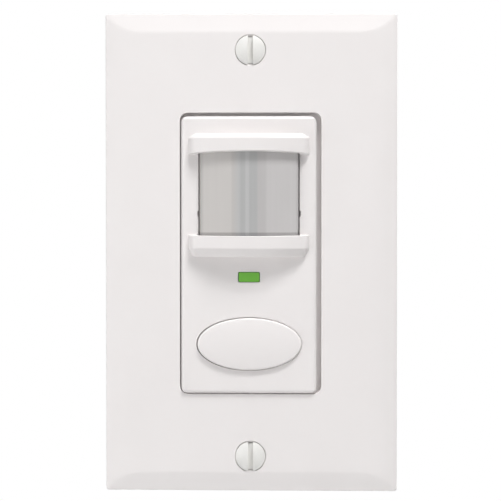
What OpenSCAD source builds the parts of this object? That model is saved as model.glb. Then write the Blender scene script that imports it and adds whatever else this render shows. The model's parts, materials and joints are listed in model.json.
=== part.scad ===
// Motion sensor light switch for a single wall box.
// A white moulded module with a hooded, convex sensor lens, a green indicator and an oval push button
// sits in the opening of a wall plate. A steel strap carries the module, and a closed housing behind
// the strap holds the electronics.
// The wall is the plane y = 0. The front faces -Y, +X is to the right and +Z is up.

/* [Wall plate] */
// Width of the wall plate
plate_w = 69.85; // [66:0.05:90]
// Height of the wall plate
plate_h = 114.3; // [110:0.1:135]
// How far the plate's face stands off the wall
plate_d = 6.2; // [5.6:0.1:8]
// Thickness of the plate's wall
plate_wall = 2.2; // [1.9:0.1:2.6]
// Radius of the rounded edge round the face
plate_edge_r = 4.5; // [3:0.1:5]
// Radius that softens the face towards its corners
plate_corner_r = 9.6; // [8:0.2:14]
// Gap at each side of the module when it is centred in the plate's opening
opening_gap = 0.8; // [0.6:0.05:1.5]
// Gap above and below the module when it is centred in the plate's opening
opening_end_gap = 0.65; // [0.5:0.05:1.5]
// Corner radius of the plate's opening
opening_corner_r = 1.9; // [1:0.1:3]
// How far left of the centre the module was fitted
module_left = 0.3; // [0:0.05:0.5]
// How far below the centre the module was fitted
module_low = 0.2; // [0:0.05:0.5]

/* [Plate screws] */
// Distance of each plate screw from the plate's upper or lower edge
screw_inset = 8.73; // [7:0.01:20]
// Diameter of the oval screw head
screw_head_d = 7; // [6:0.1:7.6]
// Height of the head's dome above the plate
screw_dome_h = 0.9; // [0.4:0.1:1.4]
// Diameter of the screw's shank
screw_shank_d = 3.4; // [2.8:0.1:4]
// Length of the screw below the plate's face
screw_len = 12; // [10:0.5:20]
// Width of the driver slot
screw_slot_w = 1.2; // [0.8:0.05:1.4]
// Depth of the driver slot below the top of the dome
screw_slot_d = 1.3; // [0.9:0.1:1.8]

/* [Strap] */
// How far the strap's ends stay inside the plate's edges
strap_inset = 3.95; // [3:0.05:14]
// Width of the strap's end tabs
strap_tab_w = 28; // [18:0.5:40]
// Thickness of the strap
strap_t = 1.4; // [1:0.1:1.8]
// Corner radius of the strap's end tabs
strap_corner_r = 4; // [1:0.5:8]
// Distance of each wall box screw from the plate screw beside it
box_inset = 6.75; // [6:0.05:8]
// Diameter of the holes for the wall box's screws
box_hole_d = 4.4; // [3.8:0.1:5]

/* [Bezel] */
// Width of the module's front
bezel_w = 32.1; // [30:0.1:34]
// Height of the module's front
bezel_h = 65.8; // [64:0.1:70]
// Corner radius of the module's front
bezel_corner_r = 1.6; // [1:0.1:3]
// Radius of the rounded edge round the front
bezel_edge_r = 0.9; // [0.4:0.1:1.4]
// How far the module's front stands proud of the plate
bezel_proud = 0.8; // [0.2:0.1:2]
// Thickness of the module's front wall and side walls
bezel_wall = 1.8; // [1.4:0.1:2.2]

/* [Lens] */
// Width of the module's front at each side of the lens
lens_side = 4.3; // [3.6:0.05:6]
// How far the middle of the lens stands out of the front
lens_proud = 3.2; // [2.8:0.1:4.5]
// How far the lens bulges between its upright edges
lens_bulge = 2; // [1.5:0.1:2.6]
// Thickness of the lens
lens_t = 0.8; // [0.6:0.1:1.2]
// Width of the bevel along the lens's upright edges
lens_bevel = 0.8; // [0.3:0.1:1]
// Height of the window between the hood and the sill
window_h = 19; // [17:0.1:20]
// Distance of the window's middle from the module's upper edge
window_drop = 18.7; // [17.5:0.1:19]
// How far the lens is tucked behind the lips of the hood and sill
lens_tuck = 0.45; // [0.3:0.05:0.8]
// Gap at each side of the lens
lens_side_gap = 0.25; // [0.15:0.05:0.4]

/* [Hood and sill] */
// How far the hood and sill stand in front of the lens
hood_over = 1.3; // [0.9:0.05:2]
// Width of the module's front at each side of the hood and sill
hood_side = 1.75; // [1.6:0.05:2.4]
// Height of the hood at the module's front
hood_h = 5.05; // [4:0.05:6]
// How much the hood's underside rises towards its middle
hood_lift = 1; // [0.2:0.05:1.2]
// Height of the sloping band along the hood's top
hood_bevel_h = 0.95; // [0.8:0.05:2.2]
// How far that band leans back
hood_bevel = 1.6; // [0.3:0.05:1.8]
// Height of the sill at the module's front
sill_h = 5.15; // [4:0.05:6]
// How much the sill's top falls towards its middle
sill_fall = 0.3; // [0.1:0.05:0.6]
// Height of the sloping band under the sill
sill_bevel_h = 1.9; // [1:0.05:2.4]
// How far that band leans back
sill_bevel = 1.1; // [0.3:0.05:1.8]

/* [Indicator] */
// Width of the indicator's window
light_w = 4.9; // [4:0.1:7]
// Height of the indicator's window
light_h = 2.2; // [1.8:0.1:3]
// Share of the way from the sill down to the button where the indicator's middle is
light_share = 0.335; // [0.3:0.005:0.45]

/* [Push button] */
// Width of the module's front at each side of the button
button_side = 3.65; // [3.2:0.05:6]
// Height of the oval button
button_h = 12.4; // [10:0.1:13]
// Distance of the button's middle from the module's lower edge
button_foot = 11.6; // [10.5:0.05:12.5]
// How far the button's rim stands out of the front
button_rim = 0.6; // [0.1:0.05:0.8]
// Rise of the dome from the rim to the middle
button_dome = 0.75; // [0.4:0.05:1.5]
// How far the button goes in when it is pressed
button_travel = 0.6; // [0.3:0.05:0.7]
// Diameter of the button's stem
stem_d = 4; // [3:0.1:5]

/* [Boards and components] */
// Thickness of the circuit boards
board_t = 1.6; // [1.2:0.1:2]
// Height of the heat sensor's can
can_h = 4.4; // [3.8:0.1:6]
// Diameter of the heat sensor's can
can_d = 8.2; // [7:0.1:9]
// Distance from the front of the lens to the heat sensor's can
focus = 21.3; // [20:0.1:24]
// Side of the push switch's body
tact_side = 6; // [5:0.1:7]
// Height of the push switch's body
tact_h = 3.6; // [3.4:0.1:5]
// Side of each trimmer's body
trimmer_side = 6.4; // [6:0.1:7]
// Distance between the two trimmers
trimmer_spacing = 17; // [15:0.1:18]
// Diameter of a trimmer's rotor
rotor_d = 4.2; // [3.6:0.1:4.8]
// Height of the relay
relay_h = 10; // [8:0.1:15]
// Height of the reservoir capacitor
can_cap_h = 10; // [8:0.1:14]
// Diameter of the reservoir capacitor
can_cap_d = 8; // [6:0.1:9]
// Height of the film capacitor
film_cap_h = 9; // [7:0.1:12]
// Diameter of the varistor's disc
varistor_d = 9; // [7:0.1:10]
// Diameter of the board screws
board_screw_d = 2; // [1.6:0.1:2.5]

/* [Housing] */
// How far the housing reaches past each side of the module
housing_side = 6.6; // [6.3:0.1:8]
// How far the housing reaches past the module's upper and lower edges
housing_end = 1.95; // [1.85:0.05:3]
// Thickness of the housing's walls
housing_wall = 1.8; // [1.5:0.1:2.2]
// Radius of the rounded edge round the housing's back
housing_edge_r = 2.5; // [1:0.1:4]
// Corner radius of the housing
housing_corner_r = 3; // [1:0.1:4]
// Height of the pillars under the power board
pillar_h = 3.4; // [2.5:0.1:6]
// Diameter of the holes where the leads come out
lead_hole_d = 3.4; // [2.6:0.1:3.8]
// Diameter of the screws that hold the housing to the strap
housing_screw_d = 2.9; // [2.2:0.1:3.2]

/* [Hidden] */
$fn = 64;
// Roundness of the wide, shallow arcs
fine = 360;
// Clearance of pieces that sit still in one another
fit = 0.15;
// Clearance of pieces that slide or turn
run = 0.1;
// How far cuts run past the faces that they open
past = 1;

// Widths and heights that follow from the plate's and the module's
screw_spacing = plate_h - 2 * screw_inset;
box_spacing = screw_spacing - 2 * box_inset;
strap_h = plate_h - 2 * strap_inset;
lens_w = bezel_w - 2 * lens_side;
hood_w = bezel_w - 2 * hood_side;
button_w = bezel_w - 2 * button_side;
button_z = button_foot - bezel_h / 2;
housing_w = bezel_w + 2 * housing_side;
housing_h = bezel_h + 2 * housing_end;

// Depths along Y
face_y = -(plate_d + bezel_proud);
wall_back_y = face_y + bezel_wall;
cap_back_y = face_y + bezel_wall / 2;
strap_y = -strap_t;
lens_r = (pow(lens_w / 2, 2) + pow(lens_bulge, 2)) / (2 * lens_bulge);
axis_y = face_y + lens_r - lens_proud;
hood_r = lens_r + hood_over;
hood_proud = lens_proud + hood_over;
can_y = face_y - lens_proud + focus;
sensor_y = can_y + can_h;
sensor_back_y = sensor_y + board_t;
board_air = 0.6;
board_gap = max(relay_h, can_cap_h, film_cap_h, varistor_d) + board_air;
power_y = sensor_back_y + board_gap;
power_back_y = power_y + board_t;
floor_y = power_back_y + pillar_h;
back_y = floor_y + housing_wall;

// Ends of the hood and sill: arcs that carry their front round to the module's face
hood_end_r = (pow(hood_r, 2) - pow(hood_w / 2, 2) - pow(hood_r - hood_proud, 2)) / (2 * hood_r - hood_w);
hood_end_x = hood_w / 2 - hood_end_r;
hood_far = [2 * hood_end_x, 2 * face_y - axis_y];
bevel_most = hood_end_r * 0.85;

// Heights of the window and the indicator in the module
window_z = bezel_h / 2 - window_drop;
window_top = window_z + window_h / 2;
window_low = window_z - window_h / 2;
hood_top = window_top + hood_h;
sill_low = window_low - sill_h;
light_z = sill_low - light_share * (sill_low - button_z - button_h / 2);
lens_top = window_top + hood_lift + lens_tuck;
lens_low = window_low - sill_fall - lens_tuck;
lens_h = lens_top - lens_low;

// Plate screws
sink_angle = 41;
sink_run = fit * 4;
screw_rim = 0.15;

// Inside of the bezel, and the skirt that goes through the strap
inner_w = bezel_w - 2 * bezel_wall;
inner_h = bezel_h - 2 * bezel_wall;
skirt_inset = 0.75;
skirt_w = bezel_w - 2 * skirt_inset;
skirt_h = bezel_h - 2 * skirt_inset;
skirt_reach = 2;
strap_window_w = skirt_w + 2 * fit;
strap_window_h = skirt_h + 2 * fit;
hook_w = 6;
hook_out = 0.9;
hook_lip = 0.5;
hook_root = 0.3;
hook_z = 0.2;

// Brim of the bezel that closes the gap behind the plate's opening
brim_out = 1.5;
brim_t = 1;
brim_y = -(plate_d + strap_t) / 2;
brim_corner = brim_out + past;

// Lens, its side notches and its retainer
notch_w = 0.5;
notch_h = 1.3;
notch_z = window_low + window_h * 0.23;
lens_foot_out = min((inner_w - lens_w) / 2 - 2 * fit, 1.4);
retainer_t = 1.2;
retainer_over = 1.5;
retainer_lip = 1;

// Push button and the push switch behind it
flange_out_w = 0.85;
flange_out_h = 1.2;
flange_w = button_w + 2 * flange_out_w;
flange_h = button_h + 2 * flange_out_h;
flange_t = 1;
button_gap = 0.15;
button_y = face_y - button_rim - button_dome;
button_dome_r = (pow(button_h / 2, 2) + pow(button_dome, 2)) / (2 * button_dome);
guide_t = 1.2;
tact_y = sensor_y - tact_h;
tact_corner_r = 0.6;
plunger_d = tact_side * 0.58;
plunger_out = 0.9;
plunger_in = 1.4;
plunger_y = tact_y - plunger_out;
stem_gap = 0.1;

// Indicator's light pipe and lamp
light_corner_r = 0.35;
light_flange = 0.9;
light_flange_t = 1;
pipe_w = light_w * 0.8;
pipe_h = light_h * 0.84;
lamp_h = 1.9;
lamp_y = sensor_y - lamp_h;
lamp_foot_y = sensor_y - lamp_h * 0.6;
lamp_foot_w = light_w * 0.7;
lamp_foot_h = light_h * 0.76;
lamp_top = 0.8;

// Heat sensor and photocell
can_wall = 0.4;
can_rim_t = 0.6;
can_rim = 0.45;
can_window_w = 4;
can_window_h = 3;
filter_over = 0.8;
base_t = 1.2;
pin_d = 0.45;
pin_out = 1.4;
photocell_d = 5.1;
photocell_flat = 4.3;
photocell_h = 2.1;

// Trimmers
trimmer_h = 3.4;
trimmer_y = sensor_y - trimmer_h;
trimmer_corner_r = 0.5;
rotor_t = 2;
rotor_out = 0.3;
rotor_y = trimmer_y - rotor_out;
rotor_slot = 0.7;
rotor_slot_d = 0.8;
delay_spot = [-trimmer_spacing / 2, button_z];
light_spot = [trimmer_spacing / 2, button_z];

// Boards, their spacers and their screws
board_play = 0.9;
board_w = housing_w - 2 * (housing_wall + board_play);
board_h = housing_h - 2 * (housing_wall + board_play);
board_corner_r = 1.5;
board_hole_d = board_screw_d + 2 * run;
board_hole_inset = 3.2;
board_spots = [for (x = [-1, 1], z = [-1, 1])
    [x * (board_w / 2 - board_hole_inset), z * (board_h / 2 - board_hole_inset)]];
board_screw_len = power_back_y + pillar_h * 0.7 - sensor_y;
board_head_h = 1.3;
pillar_d = board_screw_d * 2.5;

// Parts on the power board
relay_w = 15.4;
relay_len = 20.2;
relay_spot = [board_w / 5, board_h / 5];
can_cap_spot = [-board_w / 4, board_h * 0.29];
can_cap_groove = 0.7;
film_cap_w = 5;
film_cap_len = 13;
film_cap_spot = [-board_w / 4, board_h * 0.075];
part_corner_r = 0.6;
varistor_t = 3.6;
varistor_spot = [board_w / 4, -board_h / 4];
fuse_d = 2.4;
fuse_len = 7;
fuse_span = 10;
fuse_lead_d = 0.7;
fuse_lift = 2.2;
fuse_y = power_y - fuse_lift;
fuse_spot = [-board_w / 8, -board_h / 4];
header_pins = 6;
header_w = 2.54;
header_h = 2.5;
header_pin_w = 0.64;
header_spot = [0, -board_h * 0.4];

// Housing, its screws and the exits of the leads
housing_boss_wall = 1.25;
housing_boss_d = housing_screw_d + 2 * housing_boss_wall;
housing_boss_air = 3.2;
housing_boss_h = sensor_y - board_head_h - housing_boss_air;
housing_boss_x = housing_w / 2 - housing_boss_d / 2 - run;
housing_boss_z = housing_h / 2 - housing_boss_d - run;
housing_spots = [for (x = [-1, 1], z = [-1, 1]) [x * housing_boss_x, z * housing_boss_z]];
housing_screw_len = housing_boss_h * 0.9;
housing_head_d = housing_screw_d * 1.75;
housing_head_h = 1.6;
brim_stop_x = housing_boss_x - housing_head_d / 2 - fit;
brim_stop_z = housing_boss_z - housing_head_d / 2 - fit;
lead_spacing = 9;
lead_spots = [for (x = [-1:1]) [x * lead_spacing, housing_h / 4]];
lead_collar_wall = 1.5;
lead_collar_d = lead_hole_d + 2 * lead_collar_wall;
lead_collar_h = 1.6;

white = [0.93, 0.92, 0.91];
board_green = [0.1, 0.35, 0.2];

// Puts a piece of the module where the module was fitted in the plate
module in_module() translate([-module_left, 0, -module_low]) children();

// Extrudes a front view from y0 back to y1
module along_y(y0, y1) translate([0, y1, 0]) rotate([90, 0, 0]) linear_extrude(y1 - y0) children();

// Extrudes a side view (depth, height) evenly to both sides of x = 0
module along_x(w) rotate([90, 0, 90]) translate([0, 0, -w / 2]) linear_extrude(w) children();

// Places a piece at each [x, z] of a list
module at(spots) for (s = spots) translate([s[0], 0, s[1]]) children();

// A cylinder along Y from y0 back to y1
module pin(d, y0, y1) along_y(y0, y1) circle(d = d);

module rounded_rect(w, h, r) {
    square([w - 2 * r, h], center = true);
    square([w, h - 2 * r], center = true);
    for (x = [-1, 1], y = [-1, 1])
        translate([x * (w / 2 - r), y * (h / 2 - r)]) circle(r);
}

module oval(w, h) scale([w / h, 1]) circle(d = h, $fn = 96);

// Section of a slab of width w, from y = back to a face at y = -d whose two edges have radius r
module crowned_section(w, d, r, back = 0) difference() {
    translate([-w / 2, -d]) square([w, d + back]);
    for (s = [-1, 1])
        translate([s * (w / 2 - r), r - d]) difference() {
            translate([s > 0 ? 0 : -r - past, -r - past]) square([r + past, r + past]);
            circle(r);
        }
}

// A slab with its face at y = -d, rounded along all four edges of the face
module crowned_slab(w, h, d, r, back = 0) intersection() {
    translate([0, 0, -h / 2]) linear_extrude(h) crowned_section(w, d, r, back);
    rotate([0, 90, 0]) translate([0, 0, -w / 2]) linear_extrude(w) crowned_section(h, d, r, back);
}

// A cross-headed screw with its head's seat at seat_y
module pan_screw(d, head_d, head_h, seat_y, len) difference() {
    union() {
        pin(d, seat_y, seat_y + len);
        translate([0, seat_y, 0]) rotate([90, 0, 0]) cylinder(d1 = head_d, d2 = head_d * 0.8, h = head_h);
    }
    for (turn = [0, 90]) rotate([0, turn, 0])
        translate([-head_d / 14, seat_y - head_h - past, -head_d / 4])
            cube([head_d / 7, head_h * 0.6 + past, head_d / 2]);
}

// A turned shape about the lens's upright axis, from its half section (radius, height)
module about_axis() translate([0, axis_y, 0]) rotate_extrude($fn = fine) children();

module wall_plate() color(white) difference() {
    intersection() {
        crowned_slab(plate_w, plate_h, plate_d, plate_edge_r);
        corner_crowns();
    }
    crowned_slab(plate_w - 2 * plate_wall, plate_h - 2 * plate_wall, plate_d - plate_wall,
        plate_edge_r - plate_wall, past);
    along_y(-plate_d - past, past)
        rounded_rect(bezel_w + 2 * opening_gap, bezel_h + 2 * opening_end_gap, opening_corner_r);
    plate_screw_spots() {
        pin(screw_shank_d + sink_run, -plate_d - past, past);
        countersink(screw_head_d + 2 * fit);
    }
}

// The two crossed crowns that soften the plate's corners
module corner_crowns() intersection() {
    diagonal_crown(45);
    diagonal_crown(-45);
}

module diagonal_crown(turn)
    let (inset = plate_corner_r - sqrt(pow(plate_corner_r, 2) - pow(plate_corner_r - plate_d, 2)))
    rotate([0, turn, 0]) translate([0, 0, -plate_h]) linear_extrude(2 * plate_h)
        crowned_section((plate_w + plate_h) / sqrt(2) + 2 * inset, plate_d, plate_corner_r);

module plate_screw_spots() for (z = [-1, 1]) translate([0, 0, z * screw_spacing / 2]) children();

// The conical seat of an oval head, with its rim in the plate's face
module countersink(d) translate([0, -plate_d, 0]) rotate([-90, 0, 0])
    rotate_extrude() polygon([[0, -past], [d / 2, -past], [d / 2, 0], [0, d / 2 / tan(sink_angle)]]);

module plate_screws() color("gainsboro") plate_screw_spots() difference() {
    translate([0, -plate_d, 0]) rotate([90, 0, 0]) rotate_extrude() screw_section();
    translate([-screw_slot_w / 2, -plate_d - screw_dome_h - past, -screw_head_d])
        cube([screw_slot_w, screw_slot_d + past, 2 * screw_head_d]);
}

// Half section (radius, height over the plate's face) of an oval head, its thin rim and its shank
module screw_section() let (head = screw_head_d / 2, shank = screw_shank_d / 2,
    rise = screw_dome_h - screw_rim, r = (pow(head, 2) + pow(rise, 2)) / (2 * rise)) {
        polygon([[0, -screw_len], [shank, -screw_len], [shank, (shank - head) / tan(sink_angle)], [head, 0],
            [head, screw_rim], [0, screw_rim]]);
        intersection() {
            translate([0, screw_dome_h - r]) circle(r, $fn = fine);
            square([head, screw_dome_h]);
        }
    }

module mounting_strap() color("silver") difference() {
    along_y(strap_y, 0) {
        rounded_rect(strap_tab_w, strap_h, strap_corner_r);
        rounded_rect(housing_w, housing_h, housing_corner_r);
    }
    in_module() along_y(strap_y - past, past)
        rounded_rect(strap_window_w, strap_window_h, bezel_corner_r);
    plate_screw_spots() pin(screw_shank_d + 2 * run, strap_y - past, past);
    for (z = [-1, 1]) translate([0, 0, z * box_spacing / 2]) pin(box_hole_d, strap_y - past, past);
    at(housing_spots) pin(housing_screw_d + 2 * run, strap_y - past, past);
}

module housing_screws() color("lightsteelblue") at(housing_spots)
    pan_screw(housing_screw_d, housing_head_d, housing_head_h, strap_y, housing_screw_len);

// Front of the module: walls, hood and sill, with the window, the indicator's hole and the button's hole,
// and a brim whose corners make way for the heads of the housing screws
module front_bezel() color(white) difference() {
    in_module() difference() {
        union() {
            bezel_shell();
            hood();
            sill();
            button_guides();
            strap_hooks();
        }
        lens_pocket();
        translate([0, 0, light_z]) along_y(face_y - past, wall_back_y + past)
            rounded_rect(light_w + 2 * fit, light_h + 2 * fit, light_corner_r);
        translate([0, 0, button_z]) along_y(face_y - past, wall_back_y + past)
            oval(button_w + 2 * button_gap, button_h + 2 * button_gap);
    }
    for (x = [0, 1], z = [0, 1]) mirror([x, 0, 0]) mirror([0, 0, z])
        translate([brim_stop_x, brim_y - past, brim_stop_z])
            cube([brim_corner, brim_t + 2 * past, housing_h / 2]);
}

module bezel_shell() difference() {
    union() {
        intersection() {
            crowned_slab(bezel_w, bezel_h, -face_y, bezel_edge_r);
            along_y(face_y, strap_y) rounded_rect(bezel_w, bezel_h, bezel_corner_r);
        }
        along_y(brim_y, brim_y + brim_t)
            rounded_rect(bezel_w + 2 * brim_out, bezel_h + 2 * brim_out, bezel_corner_r + brim_out);
        along_y(strap_y, skirt_reach) rounded_rect(skirt_w, skirt_h, bezel_corner_r - fit);
    }
    along_y(wall_back_y, skirt_reach + past) square([inner_w, inner_h], center = true);
}

// The brow over the lens: a bowed cap cut to a side view whose underside rises forwards
module hood() intersection() {
    translate([0, 0, window_top - past])
        bowed_cap(hood_h + past, min(hood_bevel, bevel_most), hood_bevel_h);
    along_x(bezel_w) polygon([[cap_back_y, hood_top], [face_y - hood_proud, hood_top],
        [face_y - hood_proud, window_top + hood_lift], [face_y, window_top], [cap_back_y, window_top]]);
}

// The ledge under the lens: a bowed cap upside down, whose top falls forwards
module sill() intersection() {
    translate([0, 0, window_low + past]) mirror([0, 0, 1])
        bowed_cap(sill_h + past, min(sill_bevel, bevel_most), sill_bevel_h);
    along_x(bezel_w) polygon([[cap_back_y, sill_low], [face_y - hood_proud, sill_low],
        [face_y - hood_proud, window_low - sill_fall], [face_y, window_low], [cap_back_y, window_low]]);
}

// A cap from z = 0 up to z = h, bevelled at its top: a wide turned front that runs into two turned ends
module bowed_cap(h, bevel, bevel_h) {
    intersection() {
        about_axis() polygon(cap_section(hood_r, h, bevel, bevel_h));
        linear_extrude(h) polygon([[0, axis_y], hood_far, [-hood_far[0], hood_far[1]]]);
    }
    for (s = [0, 1]) mirror([s, 0, 0]) intersection() {
        translate([hood_end_x, face_y, 0]) rotate_extrude()
            polygon(cap_section(hood_end_r, h, bevel, bevel_h));
        linear_extrude(h) polygon([[0, axis_y], hood_far, [hood_w, hood_far[1]], [hood_w, axis_y]]);
    }
}

// Half section (radius, height) of a cap that is bevelled at its top
function cap_section(r, h, bevel, bevel_h) = [[0, 0], [r, 0], [r, h - bevel_h], [r - bevel, h], [0, h]];

// The hollow that the lens fills, with a small notch at each side
module lens_pocket() let (w = lens_w + 2 * lens_side_gap) {
    intersection() {
        about_axis() translate([0, lens_low - fit]) square([lens_r + fit, lens_h + 2 * fit]);
        translate([-w / 2, face_y - hood_proud, lens_low - past])
            cube([w, hood_proud + bezel_wall + past, lens_h + 2 * past]);
    }
    for (s = [-1, 1]) translate([(s * w - notch_w) / 2, face_y - past, notch_z])
        cube([notch_w, past + bezel_wall / 2, notch_h]);
}

// Walls above and below the button's flange that keep it straight
module button_guides() for (s = [-1, 1])
    translate([-button_w / 4, wall_back_y - past / 2,
        button_z + s * (flange_h / 2 + button_gap + guide_t / 2) - guide_t / 2])
        cube([button_w / 2, flange_t + button_travel + 2 * past, guide_t]);

// Hooks on the skirt that snap behind the strap
module strap_hooks() let (root = inner_w / 2 + hook_root, out = skirt_w / 2 + hook_out)
    for (s = [0, 1], z = [-hook_z, hook_z])
        translate([0, 0, z * bezel_h - hook_w / 2]) mirror([s, 0, 0]) linear_extrude(hook_w)
            polygon([[root, run], [out, run], [out, run + hook_lip],
                [skirt_w / 2 - run, skirt_reach], [root, skirt_reach]]);

// Lens: a bowed front with bevelled upright edges, side walls, and feet that bear on the front wall's back
module sensor_lens() color([0.78, 0.77, 0.75, 0.9]) in_module() translate([0, 0, lens_low]) {
    linear_extrude(lens_h) difference() {
        bow(lens_r, lens_w / 2);
        bow(lens_r - lens_t, lens_w / 2 - lens_t);
        for (s = [0, 1]) mirror([s, 0]) lens_corner();
        translate([-lens_w, wall_back_y + lens_t]) square([2 * lens_w, axis_y + lens_r]);
    }
    for (s = [0, 1]) mirror([s, 0, 0]) translate([(lens_w - lens_t) / 2, wall_back_y, 0])
        cube([lens_foot_out + lens_t / 2, lens_t, lens_h]);
}

// Plan of a bow of radius r about the lens's axis, cut to the given half width
module bow(r, half) intersection() {
    translate([0, axis_y]) circle(r, $fn = fine);
    translate([-half, axis_y - r - past]) square([2 * half, r + past]);
}

// Plan of what the bevel takes off the lens's right upright edge
module lens_corner() let (x = lens_w / 2 + past, y = face_y - lens_proud + lens_bulge - lens_bevel / 3 - past,
    side = lens_bevel + 2 * past)
    polygon([[x - side, y], [x, y], [x, y + side]]);

// Frame pressed in behind the lens's feet
module lens_retainer() color("dimgray") in_module() translate([0, 0, (lens_top + lens_low) / 2])
    along_y(wall_back_y + lens_t, wall_back_y + lens_t + retainer_t) difference() {
        rounded_rect(inner_w - run, lens_h + 2 * retainer_over, 1);
        square([lens_w - 2 * lens_t - retainer_lip, lens_h - 2 * retainer_lip], center = true);
    }

module indicator_light_pipe() color("limegreen") in_module() translate([0, 0, light_z]) {
    along_y(face_y, wall_back_y) rounded_rect(light_w, light_h, light_corner_r);
    along_y(wall_back_y, wall_back_y + light_flange_t)
        rounded_rect(light_w + 2 * light_flange, light_h + 2 * light_flange, light_corner_r);
    along_y(wall_back_y + light_flange_t / 2, lamp_y - stem_gap) square([pipe_w, pipe_h], center = true);
}

// Oval button: a domed cap, its flange behind the front wall, and its stem
module push_button() color(white) in_module() translate([0, 0, button_z]) {
    intersection() {
        along_y(button_y - past, wall_back_y + flange_t / 2) oval(button_w, button_h);
        translate([0, button_y + button_dome_r, 0]) scale([button_w / button_h, 1, 1])
            sphere(button_dome_r, $fn = fine / 2);
    }
    along_y(wall_back_y, wall_back_y + flange_t) oval(flange_w, flange_h);
    pin(stem_d, wall_back_y + flange_t / 2, plunger_y - stem_gap);
}

module sensor_board() color(board_green) in_module() difference() {
    along_y(sensor_y, sensor_back_y) rounded_rect(board_w, board_h, board_corner_r);
    at(board_spots) pin(board_hole_d, sensor_y - past, sensor_back_y + past);
}

// Heat sensor: a metal cup with a window, the filter behind the window, and the base with its leads
module sensor_spot() in_module() translate([0, 0, window_z]) children();

module sensor_can() color("silver") sensor_spot() difference() {
    union() {
        pin(can_d, can_y, sensor_y);
        pin(can_d + 2 * can_rim, sensor_y - can_rim_t, sensor_y);
    }
    pin(can_d - 2 * can_wall, can_y + can_wall, sensor_y + past);
    along_y(can_y - past, can_y + past) square([can_window_w, can_window_h], center = true);
}

module sensor_filter() color([0.25, 0.22, 0.2]) sensor_spot()
    along_y(can_y + can_wall, can_y + 2 * can_wall)
        square([can_window_w + 2 * filter_over, can_window_h + 2 * filter_over], center = true);

module sensor_base() color("darkgray") sensor_spot() {
    pin(can_d - 2 * can_wall - 2 * run, sensor_y - base_t, sensor_y);
    for (turn = [0, 120, 240]) rotate([0, turn, 0]) translate([0, 0, can_d / 4])
        pin(pin_d, sensor_y - base_t - pin_out, sensor_y - base_t / 2);
}

// Photocell: a disc with two flat sides
module photocell() color("burlywood") in_module() translate([lens_w / 4, 0, window_low + photocell_d])
    along_y(sensor_y - photocell_h, sensor_y) intersection() {
        circle(d = photocell_d);
        square([photocell_d, photocell_flat], center = true);
    }

module indicator_lamp() color("palegreen") in_module() translate([0, 0, light_z]) {
    along_y(lamp_foot_y, sensor_y) square([lamp_foot_w, lamp_foot_h], center = true);
    along_y(lamp_y, sensor_y) square(lamp_top * [lamp_foot_w, lamp_foot_h], center = true);
}

module push_switch_body() color("dimgray") in_module() translate([0, 0, button_z]) difference() {
    along_y(tact_y, sensor_y) rounded_rect(tact_side, tact_side, tact_corner_r);
    pin(plunger_d + 2 * run, tact_y - past, tact_y + plunger_in + button_travel + fit);
}

module push_switch_plunger() color("black") in_module() translate([0, 0, button_z])
    pin(plunger_d, plunger_y, tact_y + plunger_in);

module trimmer_body(spot) in_module() at([spot]) difference() {
    along_y(trimmer_y, sensor_y) rounded_rect(trimmer_side, trimmer_side, trimmer_corner_r);
    pin(rotor_d + 2 * run, trimmer_y - past, rotor_y + rotor_t + run);
}

// Rotor with its driver slot and the short arm that shows where it points
module trimmer_rotor(spot) in_module() at([spot]) difference() {
    pin(rotor_d, rotor_y, rotor_y + rotor_t);
    translate([-rotor_slot / 2, rotor_y - past, -rotor_d * 0.4])
        cube([rotor_slot, past + rotor_slot_d, rotor_d * 0.8]);
    translate([0, rotor_y - past, -rotor_slot / 2]) cube([rotor_d * 0.3, past + rotor_slot_d, rotor_slot]);
}

module delay_trimmer_body() color("royalblue") trimmer_body(delay_spot);

module delay_trimmer_rotor() color("white") trimmer_rotor(delay_spot);

module light_trimmer_body() color("royalblue") trimmer_body(light_spot);

module light_trimmer_rotor() color("white") trimmer_rotor(light_spot);

module board_spacers() color("ivory") in_module() at(board_spots) difference() {
    pin(pillar_d, sensor_back_y, power_y);
    pin(board_hole_d, sensor_back_y - past, power_y + past);
}

module board_screws() color("silver") in_module() at(board_spots)
    pan_screw(board_screw_d, board_screw_d * 1.9, board_head_h, sensor_y, board_screw_len);

module power_board() color(board_green) in_module() difference() {
    along_y(power_y, power_back_y) rounded_rect(board_w, board_h, board_corner_r);
    at(board_spots) pin(board_hole_d, power_y - past, power_back_y + past);
}

module relay() color("black") in_module() at([relay_spot])
    along_y(power_y - relay_h, power_y) rounded_rect(relay_w, relay_len, part_corner_r);

// Electrolytic can with its rolled groove
module reservoir_capacitor() color("midnightblue") in_module() at([can_cap_spot])
    translate([0, power_y, 0]) rotate([90, 0, 0]) rotate_extrude() difference() {
        square([can_cap_d / 2, can_cap_h]);
        translate([can_cap_d / 2 + can_cap_groove / 4, can_cap_h / 6]) circle(can_cap_groove);
    }

module film_capacitor() color("gold") in_module() at([film_cap_spot])
    along_y(power_y - film_cap_h, power_y) rounded_rect(film_cap_w, film_cap_len, part_corner_r);

module varistor() color("steelblue") in_module() at([varistor_spot])
    translate([0, power_y - varistor_d / 2, 0]) rotate([0, 90, 0])
        cylinder(d = varistor_d, h = varistor_t, center = true);

// Axial fuse on its two bent legs
module fuse() color("tan") in_module() at([fuse_spot]) {
    translate([0, fuse_y, 0]) cylinder(d = fuse_d, h = fuse_len, center = true);
    translate([0, fuse_y, 0]) cylinder(d = fuse_lead_d, h = fuse_span, center = true);
    for (s = [-1, 1])
        translate([-fuse_lead_d / 2, fuse_y - fuse_lead_d / 2, (s * fuse_span - fuse_lead_d) / 2])
            cube([fuse_lead_d, fuse_lift + fuse_lead_d / 2, fuse_lead_d]);
}

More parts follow.
